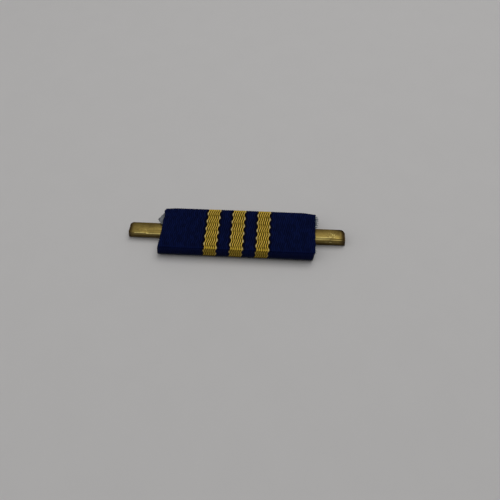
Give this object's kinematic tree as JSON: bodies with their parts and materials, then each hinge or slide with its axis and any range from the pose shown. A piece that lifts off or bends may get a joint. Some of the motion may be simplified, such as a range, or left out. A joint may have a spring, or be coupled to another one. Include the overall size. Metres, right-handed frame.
{
  "type": "ribbon bar",
  "caption": "Striped medal ribbon folded over a stiff backing strip on a pressed brass bar with a pin behind it; pins flat to a uniform or coat.",
  "frame": {"origin": "under the middle of the brass bar and of the ribbon's depth, on the plane that the back rests on", "axes": "+X along the bar, +Y across it towards the upper edge when worn, +Z out of the ribbon's face"},
  "size_m": [0.0458, 0.0102, 0.0032],
  "materials": {
    "ribbon_cloth": "ribbed silk weave with three gold stripes",
    "backing": "matte, slightly see-through",
    "brass": "worn and slightly tarnished",
    "pin_wire": "drawn wire"
  },
  "bodies": {
    "root": {"ribbon": "ribbon_cloth", "stiffener": "backing", "mounting_bar": "brass", "brooch_pin": "pin_wire"}
  },
  "joints": []
}
